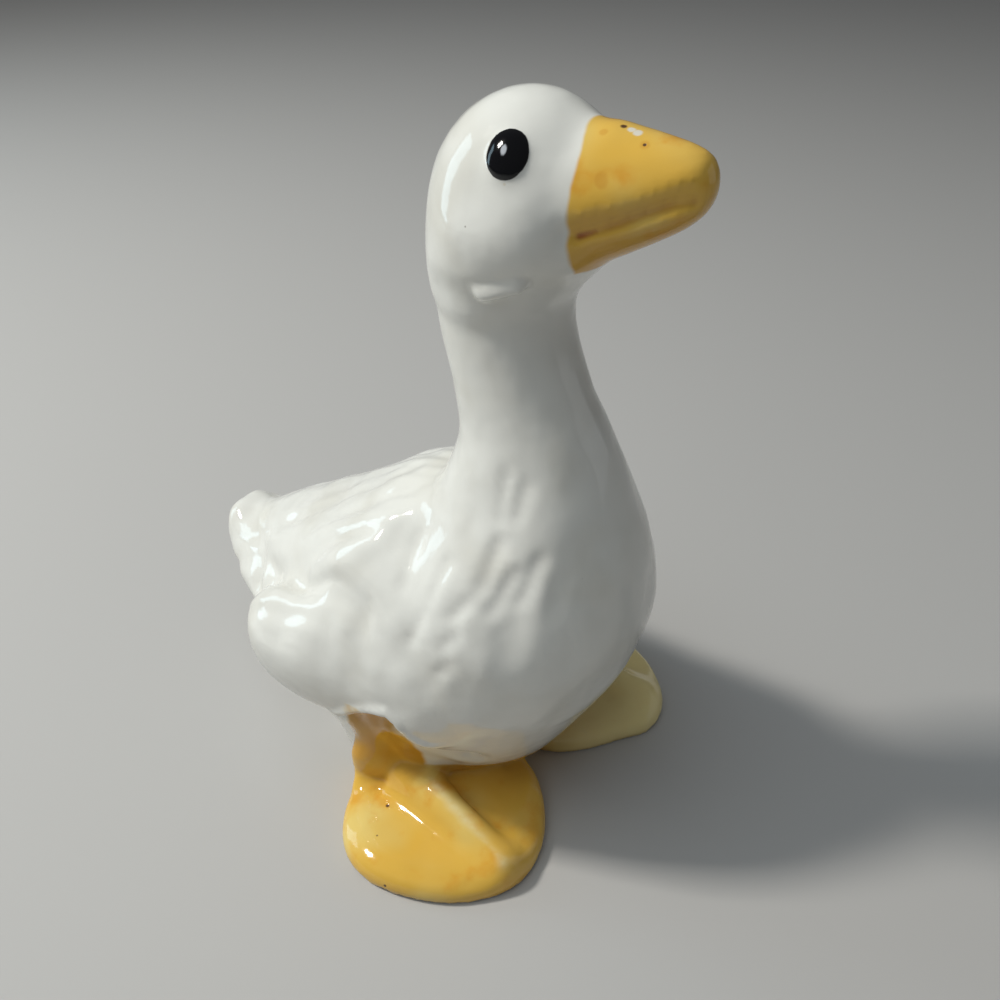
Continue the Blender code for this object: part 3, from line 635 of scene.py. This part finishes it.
# Marks of the firing and of wear on the right side, which is the one that the photograph
# shows: each has its place and its radius in millimetres.
PITS = (((-1.5, -51.4, 173.7), 0.75), ((-3.9, -56.8, 172.0), 0.36), ((-38.7, -16.1, 6.7), 0.62),
        ((-47.2, -19.7, 7.1), 0.38), ((-55.0, -28.4, 2.6), 0.42))
CHIPS = (((-1.7, -53.0, 173.5), 0.90), ((-2.1, -54.4, 173.3), 0.95),
         ((-16.2, -36.7, 165.0), 0.30))
SMUDGES = (((-4.0, -48.9, 173.0), 0.90), ((-9.5, -52.0, 166.7), 1.50),
           ((-3.9, -56.8, 172.0), 0.95))
DUST_SPECKS = (((-18.9, -30.2, 157.0), 0.28), ((-19.6, -24.2, 91.8), 0.32),
               ((-14.4, -55.8, 84.5), 0.32))
MARK_FRAY = 0.8
MARK_RIM = 1.15
MARK_CORE = 0.55
SMUDGE_SHARE = 0.40
DUST_SHARE = 0.8


def spots(marks):
    """1 on each of some marks, which are given by place and radius in millimetres."""
    mask = None
    for spot, radius in marks:
        reach = node("ShaderNodeVectorMath", operation="DISTANCE")
        wire(place.outputs["Object"], reach, 0)
        reach.inputs[1].default_value = Vector(spot) / MM
        frayed = sums("ADD", reach.outputs["Value"], times(wobble, radius * MARK_FRAY / MM))
        covered = ramp(frayed, radius * MARK_RIM / MM, radius * MARK_CORE / MM)
        mask = covered if mask is None else sums("MAXIMUM", mask, covered)
    return mask


colour = blend(times(spots(SMUDGES), SMUDGE_SHARE), colour, SMUDGE)
colour = blend(spots(CHIPS), colour, CHIP_WHITE)
pits = spots(PITS)
colour = blend(pits, colour, PIT_BROWN)
colour = blend(times(spots(DUST_SPECKS), DUST_SHARE), colour, DUST)
bare = stored("bare")
colour = blend(bare, colour, BISCUIT)
wire(colour, shader, "Base Color")

# The surface: glossy glaze, dull where it is bare or pitted, with the faint unevenness
# that a dipped glaze keeps.
GLAZE_ROUGHNESS = 0.09
BISCUIT_ROUGHNESS = 0.85
PIT_DULLNESS = 0.5
UNEVEN_STRENGTH = 0.30
UNEVEN_DEPTH = 0.0006
UNEVEN_SWELL = (150.0, 1.0)
UNEVEN_GRAIN = (520.0, 2.0)
GRAIN_SHARE = 0.11
PIT_DEPTH = 0.6

dull = node("ShaderNodeMapRange")
dull.inputs["To Min"].default_value = GLAZE_ROUGHNESS
dull.inputs["To Max"].default_value = BISCUIT_ROUGHNESS
wire(sums("MAXIMUM", bare, times(pits, PIT_DULLNESS)), dull, "Value")
wire(dull.outputs["Result"], shader, "Roughness")

bump = node("ShaderNodeBump")
bump.inputs["Strength"].default_value = UNEVEN_STRENGTH
bump.inputs["Distance"].default_value = UNEVEN_DEPTH
uneven = sums("ADD", speckle(*UNEVEN_SWELL), times(speckle(*UNEVEN_GRAIN), GRAIN_SHARE))
wire(sums("SUBTRACT", uneven, times(pits, PIT_DEPTH)), bump, "Height")
wire(bump.outputs["Normal"], shader, "Normal")

duck.data.materials.clear()
duck.data.materials.append(finish)
duck.data.shade_smooth()
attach(duck, "root")
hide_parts(CASTING_NODE)


# The floor: a plain pale sheet, not part of the figurine. It reaches far enough that its
# edge is never near the duck.
FLOOR_HALF = 3.0
FLOOR_COLOUR = (0.50, 0.49, 0.475, 1.0)
FLOOR_ROUGHNESS = 0.8

bm = bmesh.new()
bmesh.ops.create_grid(bm, x_segments=1, y_segments=1, size=FLOOR_HALF)
sheet = bpy.data.meshes.new("floor")
bm.to_mesh(sheet)
bm.free()
floor = bpy.data.objects.new("floor", sheet)
bpy.context.collection.objects.link(floor)
pale = bpy.data.materials.new("pale_floor")
pale.use_nodes = True
pale_shader = pale.node_tree.nodes["Principled BSDF"]
pale_shader.inputs["Base Color"].default_value = FLOOR_COLOUR
pale_shader.inputs["Roughness"].default_value = FLOOR_ROUGHNESS
sheet.materials.append(pale)


# The light: a soft window behind the duck, a warmer lamp above it, a broad ceiling light
# that isn't mirrored in the glaze, a weak fill in front, and an even room. Each lamp has
# its bearing and height in degrees, its size, its power and its tint.
AIM = Vector((0.0, -0.01, 0.09))
LAMP_DISTANCE = 1.1
LAMPS = (
    ("window", 103.0, 16.0, (0.30, 0.66), 1.7, (0.62, 0.86, 1.0)),
    ("lamp", 120.0, 49.0, (0.15, 0.15), 8.6, (1.0, 0.965, 0.90)),
    ("ceiling", 158.0, 66.0, (1.20, 1.20), 5.6, (0.86, 0.95, 1.0)),
    ("fill", -52.0, 12.0, (0.60, 0.60), 0.4, (0.94, 0.97, 1.0)),
)
NOT_MIRRORED = "ceiling"
ROOM_COLOUR = (0.93, 0.96, 1.0, 1.0)
ROOM_STRENGTH = 0.10
BACKDROP_STRENGTH = 0.50

for name, bearing, height, size, power, tint in LAMPS:
    lamp = bpy.data.lights.new(name, "AREA")
    lamp.shape = "RECTANGLE"
    lamp.size, lamp.size_y = size
    lamp.energy = power
    lamp.color = tint
    holder = bpy.data.objects.new(name, lamp)
    holder.visible_glossy = name != NOT_MIRRORED
    bpy.context.collection.objects.link(holder)
    turn, lift = math.radians(bearing), math.radians(height)
    level = LAMP_DISTANCE * math.cos(lift)
    above = LAMP_DISTANCE * math.sin(lift)
    spot = AIM + Vector((level * math.cos(turn), level * math.sin(turn), above))
    holder.location = spot
    holder.rotation_euler = (AIM - spot).to_track_quat("-Z", "Y").to_euler()

room = bpy.data.worlds.new("room")
room.use_nodes = True
sky = room.node_tree.nodes["Background"]
sky.inputs["Color"].default_value = ROOM_COLOUR
rays = room.node_tree.nodes.new("ShaderNodeLightPath")
backdrop = room.node_tree.nodes.new("ShaderNodeMapRange")
backdrop.inputs["To Min"].default_value = ROOM_STRENGTH
backdrop.inputs["To Max"].default_value = BACKDROP_STRENGTH
room.node_tree.links.new(rays.outputs["Is Camera Ray"], backdrop.inputs["Value"])
room.node_tree.links.new(backdrop.outputs["Result"], sky.inputs["Strength"])
bpy.context.scene.world = room


# The camera: a hand-held close view from the duck's right, looking down on it. Its place
# and turn were fitted to the photograph's own perspective.
LENS_PLACE = Vector((-0.15919, -0.13404, 0.2195))
LENS_TURN = math.radians(34.5)
LENS_PITCH = math.radians(35.0)
LENS_LENGTH = 36.0
SENSOR = 36.0
NEAR_LIMIT = 0.01

ahead = Vector((math.cos(LENS_TURN), math.sin(LENS_TURN), 0.0))
view = ahead * math.cos(LENS_PITCH) - Vector((0, 0, math.sin(LENS_PITCH)))
camera = bpy.data.cameras.new("camera")
camera.lens = LENS_LENGTH
camera.sensor_width = SENSOR
camera.clip_start = NEAR_LIMIT
stand = bpy.data.objects.new("camera", camera)
bpy.context.collection.objects.link(stand)
stand.location = LENS_PLACE
stand.rotation_euler = view.to_track_quat("-Z", "Y").to_euler()
bpy.context.scene.camera = stand
bpy.context.scene.view_settings.view_transform = "Standard"
